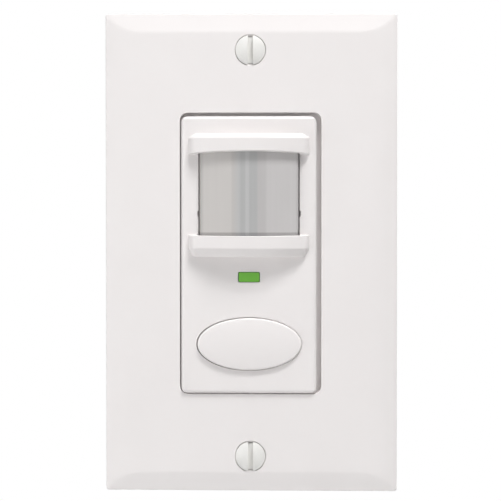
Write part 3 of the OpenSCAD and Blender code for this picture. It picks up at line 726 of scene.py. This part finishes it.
def lens_recipe(plan, foot, height, rib_radius, rib_count, rib_arc, axis):
    """Fills the plan, lifts it to the height, and stands half-round ribs along the inner arc."""
    curve = plan.node("GeometryNodeMeshToCurve", sockets={"Mesh": plan})
    floor = curve.node("GeometryNodeFillCurve", {"mode": "NGONS"}, {"Curve": curve})
    floor = moved(floor, foot.node("CombineXYZ", sockets={"Z": foot}))
    up = height.node("CombineXYZ", sockets={"Z": height})
    lifted = floor.node("GeometryNodeExtrudeMesh", {"mode": "FACES"},
                        {"Mesh": floor, "Offset": up, "Offset Scale": 1.0, "Individual": False})
    under = floor.node("GeometryNodeFlipFaces", sockets={"Mesh": floor})
    sheet = lifted.node("GeometryNodeJoinGeometry", sockets={0: [lifted, under]})
    sheet = sheet.node("GeometryNodeMergeByDistance", sockets={"Geometry": sheet, "Distance": 0.001 * mm})
    line = plan.node("GeometryNodeCurveArc", {"mode": "RADIUS"}, {
        "Resolution": rib_count, "Radius": rib_arc, "Start Angle": fan_start, "Sweep Angle": fan_sweep})
    centre = axis.node("CombineXYZ", sockets={"X": lens_x * mm, "Y": axis, "Z": foot + 0.5 * height})
    rib = plan.node("GeometryNodeMeshCylinder", sockets={
        "Vertices": 6, "Radius": rib_radius, "Depth": height - 4 * rib_radius})
    ribs = line.node("GeometryNodeInstanceOnPoints", sockets={"Points": moved(line, centre), "Instance": rib})
    return sheet.node("GeometryNodeJoinGeometry", sockets={0: [sheet, ribs]})


mesh = grow("lens_sheet", (plan, loop), lens_recipe, lens_milk, foot=lens_z * mm, height=lens_h * mm,
            rib_radius=0.22 * mm, rib_count=27, rib_arc=(lens_r - lens_t) * mm, axis=axis_y * mm)
as_piece(mesh, "lens_sheet", lens_milk, "base", "sensor_lens")

# %% [markdown]
# ## Screws
# Three kinds of screw share one recipe: two slotted oval heads in the plate, painted to match it, and two
# sets of four plated pan heads with a cross. A half section, drawn in Python, is turned round its axis by
# a grid whose rows follow the section. The thread is a rule too: its depth follows height and turn
# together, which makes a helix. A cutter takes out the slot, and the screw is set on its spots.

# %% Turned and threaded screws


def screw_recipe(section, sides, thread_top, thread_depth, pitch, slot_width, slot_length, slot_depth, top,
                 spacing_x, spacing_z, columns, seat, centre_x, centre_z, cross):
    """Turns the section, cuts the thread and the slot, and sets the screw on a grid of spots."""
    rows = section.node("GeometryNodeAttributeDomainSize", {"component": "MESH"}, {"Geometry": section})
    grid = section.node("GeometryNodeMeshGrid", sockets={
        "Size X": 1.0, "Size Y": 1.0, "Vertices X": rows, "Vertices Y": sides + 1})
    index = section.node("GeometryNodeInputIndex")
    row = index.math("FLOOR", (index + 0.5) / (sides + 1))
    turn = (index - row * (sides + 1)) / sides
    place = section.node("GeometryNodeInputPosition")
    point = section.node("GeometryNodeSampleIndex", {"data_type": "FLOAT_VECTOR"},
                         {"Geometry": section, "Value": place, "Index": row})
    radius, _, height = point.axes()
    below = height.math("LESS_THAN", height, thread_top)
    ridge = abs(2 * (height / pitch + turn).saw() - 1)
    core = radius - below * ridge * thread_depth * radius.math("GREATER_THAN", radius, 2 * thread_depth)
    angle = turn * (2 * math.pi)
    turned = angle.node("CombineXYZ", sockets={
        "X": core * angle.math("COSINE", angle), "Y": 0 - height, "Z": core * angle.math("SINE", angle)})
    screw = grid.node("GeometryNodeSetPosition", sockets={"Geometry": grid, "Position": turned})
    screw = screw.node("GeometryNodeMergeByDistance", sockets={"Geometry": screw, "Distance": 0.001 * mm})
    depth = 2 * slot_depth
    up = top.node("CombineXYZ", sockets={"Y": 0 - top})

    def cut(body, wide, tall):
        size = depth.node("CombineXYZ", sockets={"X": wide, "Y": depth, "Z": tall})
        cutter = moved(depth.node("GeometryNodeMeshCube", sockets={"Size": size}), up)
        return body.node("GeometryNodeMeshBoolean", {"operation": "DIFFERENCE", "solver": "EXACT"},
                         {"Mesh 1": body, "Mesh 2": cutter})

    slotted = cut(screw, slot_width, slot_length)
    crossed = cut(slotted, slot_length, slot_width)
    screw = cross.node("GeometryNodeSwitch", {"input_type": "GEOMETRY"},
                       {"Switch": cross, "False": slotted, "True": crossed})
    spots = section.node("GeometryNodeMeshGrid", sockets={
        "Size X": spacing_x, "Size Y": spacing_z, "Vertices X": columns, "Vertices Y": 2})
    middle_spot = seat.node("CombineXYZ", sockets={"X": centre_x, "Y": seat, "Z": centre_z})
    spots = moved(spots, middle_spot, (math.pi / 2, 0.0, 0.0))
    return spots.node("GeometryNodeInstanceOnPoints", sockets={"Points": spots, "Instance": screw})


def half_section(corners, rows):
    """A line through (radius, height) corners in millimetres, with that many rows in each stretch."""
    points = [(corners[0][0], 0, corners[0][1])]
    for (r0, z0), (r1, z1), count in zip(corners, corners[1:], rows):
        points += [(r0 + (r1 - r0) * i / count, 0, z0 + (z1 - z0) * i / count) for i in range(1, count + 1)]
    return points, [(i, i + 1) for i in range(len(points) - 1)]


print("screw recipe ready")

# %% Finishes of the screws
screw_paint, shader, place = new_finish("screw_paint", IOR=1.5)
speckle = place.noise(0.3 * mm, detail=3)
speckle.blend((0.79, 0.785, 0.755), (0.84, 0.83, 0.81)).feed(shader, "Base Color")
(0.3 + 0.15 * speckle).feed(shader, "Roughness")
grain_bump(shader, speckle, 0.01 * mm)

zinc_plating, shader, place = new_finish("zinc_plating", Metallic=1.0)
spangle = place.node("TexVoronoi", {}, {"Vector": place, "Scale": 1 / (2.2 * mm)})
spangle.blend((0.56, 0.57, 0.59), (0.7, 0.71, 0.72)).feed(shader, "Base Color")
(0.3 + 0.2 * place.noise(0.5 * mm)).feed(shader, "Roughness")
print("made", screw_paint.name, "and", zinc_plating.name)

# %% Plate screws
head, rim, rise, shank, depth = 3.5, 0.15, 0.75, 1.7, 12.0
ball = (head ** 2 + rise ** 2) / (2 * rise)
crown = [(ball * math.sin(t), rim + rise - ball + ball * math.cos(t))
         for t in (math.asin(head / ball) * i / 10 for i in range(11))]
cone = (head - shank) / sink_slope
corners = crown + [(head, 0), (shank, -cone), (shank, 0.8 - depth), (shank - 0.6, -depth), (0, -depth)]
section = half_section(corners, [1] * 10 + [1, 3, 96, 3, 2])
mesh = grow("plate_screw_pair", section, screw_recipe, screw_paint, sides=48, thread_top=-(cone + 0.8) * mm,
            thread_depth=0.28 * mm, pitch=0.79 * mm, slot_width=1.2 * mm, slot_length=20 * mm,
            slot_depth=1.3 * mm, top=(rim + rise) * mm, spacing_x=0.0, spacing_z=2 * screw_z * mm, columns=1,
            seat=-plate_d * mm, centre_x=0.0, centre_z=0.0, cross=0)
as_piece(mesh, "plate_screw_pair", screw_paint, "base", "plate_screws")

# %% Cross-head screws


def pan_screws(name, node, spots, centre, seat, head, head_h, shank, length, pitch, rows):
    """A set of four plated pan-head screws at plus and minus spots round a centre, in millimetres."""
    half, top = head / 2, 0.4 * head
    rim = [(top + (half - top) * math.sin(t), head_h * (0.45 + 0.55 * math.cos(t)))
           for t in (math.radians(15 * i) for i in range(7))]
    corners = [(0, head_h)] + rim + [(half, 0), (shank / 2, 0), (shank / 2, 0.8 - length),
                                     (shank / 2 - 0.5, -length), (0, -length)]
    section = half_section(corners, [2] + [1] * 6 + [1, 1, rows, 3, 1])
    mesh = grow(name, section, screw_recipe, zinc_plating, sides=24, thread_top=-1.0 * mm,
                thread_depth=0.12 * shank * mm, pitch=pitch * mm, slot_width=head / 7 * mm,
                slot_length=head / 2 * mm, slot_depth=0.6 * head_h * mm, top=head_h * mm,
                spacing_x=2 * spots[0] * mm, spacing_z=2 * spots[1] * mm, columns=2, seat=seat * mm,
                centre_x=centre[0] * mm, centre_z=centre[1] * mm, cross=1)
    as_piece(mesh, name, zinc_plating, "base", node)


pan_screws("housing_screw_set", "housing_screws", spots=(19.85, 29.35), centre=(0, 0), seat=-1.4,
           head=5.075, head_h=1.6, shank=2.9, length=9.9, pitch=0.9, rows=70)
pan_screws("board_screw_set", "board_screws", spots=(16.75, 28.95), centre=(-0.3, -0.2), seat=15.5,
           head=3.8, head_h=1.3, shank=2.0, length=16.18, pitch=0.5, rows=170)

# %% [markdown]
# ## Strap and housing
# Behind the wall plate are a plated steel strap and a black closed housing. The strap is punched from
# sheet, so its edges are only just broken. The housing is moulded, with softer edges and a rougher grain.
# Both are softened copies of the CAD, as the bezel is.

# %% Strap and housing
softened("mounting_strap", 0.15, zinc_plating, "strap_plate")


def moulded(name, low, high, grain=0.3, roughness=0.42, depth=0.012):
    """A moulded or coated finish: grains of a size in millimetres move its colour, gloss and height."""
    finish, shader, place = new_finish(name, IOR=1.5)
    speckle = place.noise(grain * mm, detail=3)
    speckle.blend(low, high).feed(shader, "Base Color")
    (roughness - 0.06 + 0.12 * speckle).feed(shader, "Roughness")
    grain_bump(shader, speckle, depth * mm)
    print("made", name)
    return finish


black_moulding = moulded("black_moulding", (0.016, 0.016, 0.018), (0.032, 0.032, 0.035), 0.35, 0.5, 0.02)
softened("rear_housing", 0.2, black_moulding, "housing_moulding")

# %% [markdown]
# ## Indicator
# A clear green light pipe, whose end shows in the bezel as a small window. Its shape in the CAD is right,
# so the node stays and only gets a finish: a clean green with slow clouds, as moulded clear plastic has.

# %% Indicator window


def dress(node, finish):
    """Gives a CAD node that stays in view a finish."""
    nodes[node].material_slots[0].material = finish


indicator_green = moulded("indicator_green", (0.145, 0.48, 0.04), (0.185, 0.54, 0.062), 2.5, 0.3, 0.004)
dress("indicator_light_pipe", indicator_green)

# %% [markdown]
# ## Circuit boards
# Green lacquer over copper: where a trace runs under the lacquer, the green is lighter and stands a
# little proud. Lanes across and along the board, kept only in some patches of a noise, give such traces
# without drawing each one. Both boards share the finish, because it is on Object coordinates.

# %% Lacquer with traces
board_lacquer, shader, place = new_finish("board_lacquer", IOR=1.5, Coat_Weight=0.4)
across, _, along = place.axes()


def lanes(line, pitch, width):
    """1 on lanes of a width, a pitch apart, across a wire of positions, in millimetres."""
    return abs((line / (pitch * mm)).saw() - 0.5).step(width / pitch / 2 + 0.05, width / pitch / 2 - 0.05)


patch = place.noise(9 * mm, detail=0).step(0.47, 0.5)
traces = patch * lanes(across, 1.27, 0.5) + (1 - patch) * lanes(along, 1.9, 0.6)
weave = place.noise(0.25 * mm)
laminate = weave.blend((0.012, 0.085, 0.035), (0.018, 0.105, 0.045))
traces.blend(laminate, (0.04, 0.19, 0.075)).feed(shader, "Base Color")
(0.28 + 0.14 * weave).feed(shader, "Roughness")
grain_bump(shader, traces + 0.2 * weave, 0.035 * mm)
for board in ("sensor_board", "power_board"):
    dress(board, board_lacquer)
print("made", board_lacquer.name)

# %% [markdown]
# ## Solder joints
# Every lead goes through its board and ends in a small cone of solder round the tip of a pin. The same
# joint stands on many spots, which is what Geometry Nodes are for: the spots are the seed mesh, and one
# cone with its pin is set on each. The joints stand on the back of each board.

# %% Solder joints
tin, shader, place = new_finish("tin_solder", Metallic=1.0)
flow = place.noise(0.35 * mm)
flow.blend((0.62, 0.62, 0.6), (0.76, 0.76, 0.75)).feed(shader, "Base Color")
(0.2 + 0.2 * flow).feed(shader, "Roughness")

trimmer_pins = ((-2.5, -2.5), (2.5, -2.5), (0, 2.5))
pins = {"relay": ((-5.5, -8), (5.5, -8), (-5.5, 2), (5.5, 2), (0, 8)),
        "reservoir_capacitor": ((-1.75, 0), (1.75, 0)), "film_capacitor": ((0, -5), (0, 5)),
        "varistor": ((0, -3.75), (0, 3.75)), "fuse": ((0, -5), (0, 5)),
        "board_header": [(2.54 * (i - 2.5), 0) for i in range(6)], "photocell": ((-1.7, 0), (1.7, 0)),
        "indicator_lamp": ((-1.27, 0), (1.27, 0)), "sensor_base": ((-1.8, -1.8), (1.8, -1.8), (0, 2.54)),
        "push_switch_body": ((-3.2, -2.2), (3.2, -2.2), (-3.2, 2.2), (3.2, 2.2)),
        "delay_trimmer_body": trimmer_pins, "light_trimmer_body": trimmer_pins}
rear_parts = ("relay", "reservoir_capacitor", "film_capacitor", "varistor", "fuse", "board_header")
spots = []
for node, offsets in pins.items():
    x, _, z = (v / mm for v in middle(node))
    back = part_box("power_board" if node in rear_parts else "sensor_board")[1][1] / mm
    spots += [(x + dx, back, z + dz) for dx, dz in offsets]


def solder_recipe(spots, radius, height, pin_radius):
    """Sets a cone of solder with the tip of a pin on each spot, pointing to the back."""
    cone = spots.node("GeometryNodeMeshCone", sockets={
        "Vertices": 12, "Radius Top": 1.4 * pin_radius, "Radius Bottom": radius, "Depth": 0.7 * height})
    pin = spots.node("GeometryNodeMeshCone", sockets={
        "Vertices": 8, "Radius Top": 0.7 * pin_radius, "Radius Bottom": pin_radius, "Depth": height})
    joint = cone.node("GeometryNodeJoinGeometry", sockets={0: [cone, pin]})
    joint = moved(joint, (0.0, 0.0, 0.0), (-math.pi / 2, 0.0, 0.0))
    return spots.node("GeometryNodeInstanceOnPoints", sockets={"Points": spots, "Instance": joint})


mesh = grow("solder_joints", (spots, []), solder_recipe, tin,
            radius=0.75 * mm, height=0.42 * mm, pin_radius=0.28 * mm)
as_piece(mesh, "solder_joints", tin, "base", slot="sensor_metal")

# %% [markdown]
# ## Parts on the boards
# None of these show in the photograph, but the part may be opened, so each gets its own finish: drawn
# metal on the sensor's can, a dark filter pane in it, a printed track on the light cell, a sleeve with a
# stripe on the capacitor, and plain mouldings and coatings on the rest. Bodies that are boxes or drums in
# the CAD are softened first.

# %% Sensor can, filter and light cell
drawn_metal, shader, place = new_finish("drawn_metal", Metallic=1.0)
brushed = place.node("Mapping", sockets={"Vector": place, "Scale": (1, 12, 1)}).noise(0.5 * mm, detail=3)
brushed.blend((0.5, 0.49, 0.46), (0.66, 0.65, 0.62)).feed(shader, "Base Color")
(0.22 + 0.2 * brushed).feed(shader, "Roughness")
softened("sensor_can", 0.12, drawn_metal, "can_shell", levels=[middle("sensor_filter")[2]])
dress("sensor_base", drawn_metal)
dress("sensor_filter", moulded("filter_pane", (0.02, 0.014, 0.02), (0.04, 0.026, 0.034), 1.5, 0.15, 0.002))

cell_track, shader, place = new_finish("cell_track", IOR=1.5, Coat_Weight=0.6)
cell = middle("photocell")
x, _, z = place.node("Mapping", sockets={"Vector": place, "Location": tuple(-v for v in cell)}).axes()
wave = abs((x / (1.6 * mm) + 0.25).saw() - 0.5) * 1.2
track = lanes(z + wave * (0.6 * mm), 1.1, 0.45)
track.blend((0.62, 0.55, 0.42), (0.4, 0.09, 0.02)).feed(shader, "Base Color")
(0.25 + 0.2 * place.noise(0.4 * mm)).feed(shader, "Roughness")
dress("photocell", cell_track)
print("made", cell_track.name)

# %% Sleeved capacitor
low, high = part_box("reservoir_capacitor")
sleeve, shader, place = new_finish("capacitor_sleeve", IOR=1.5, Coat_Weight=0.3)
stripe = place.axes()[0].step(high[0] - 1.3 * mm, high[0] - 1.15 * mm)
sheen = place.noise(0.6 * mm)
foil = sheen.blend((0.012, 0.016, 0.03), (0.02, 0.026, 0.045))
stripe.blend(foil, (0.55, 0.56, 0.58)).feed(shader, "Base Color")
(0.3 + 0.15 * sheen).feed(shader, "Roughness")
softened("reservoir_capacitor", 0.35, sleeve, "sleeved_can")

# %% Mouldings and coatings
softened("relay", 0.3, black_moulding, "relay_case")
softened("push_switch_body", 0.2, black_moulding, "switch_case")
film_yellow = moulded("film_yellow", (0.62, 0.38, 0.02), (0.72, 0.46, 0.04), 0.5, 0.3)
softened("film_capacitor", 0.4, film_yellow, "film_block")
varistor_blue = moulded("varistor_blue", (0.02, 0.07, 0.3), (0.035, 0.1, 0.38), 0.4, 0.28)
softened("varistor", 0.5, varistor_blue, "varistor_disc")
trimmer_blue = moulded("trimmer_blue", (0.02, 0.1, 0.42), (0.03, 0.14, 0.5), 0.3, 0.35)
rotor_white = moulded("rotor_white", (0.72, 0.72, 0.7), (0.82, 0.82, 0.8), 0.3, 0.4)
for kind in ("delay", "light"):
    softened(kind + "_trimmer_body", 0.2, trimmer_blue, kind + "_trimmer_case")
    dress(kind + "_trimmer_rotor", rotor_white)
for node, finish in {
        "lens_retainer": black_moulding, "board_header": black_moulding,
        "push_switch_plunger": moulded("plunger_red", (0.42, 0.03, 0.025), (0.5, 0.045, 0.035)),
        "indicator_lamp": moulded("lamp_resin", (0.2, 0.45, 0.12), (0.28, 0.52, 0.17), 1.2, 0.12, 0.003),
        "board_spacers": moulded("spacer_nylon", (0.66, 0.64, 0.58), (0.74, 0.72, 0.66), 0.5, 0.5),
        "fuse": moulded("fuse_ceramic", (0.6, 0.56, 0.48), (0.7, 0.66, 0.58), 0.25, 0.35)}.items():
    dress(node, finish)
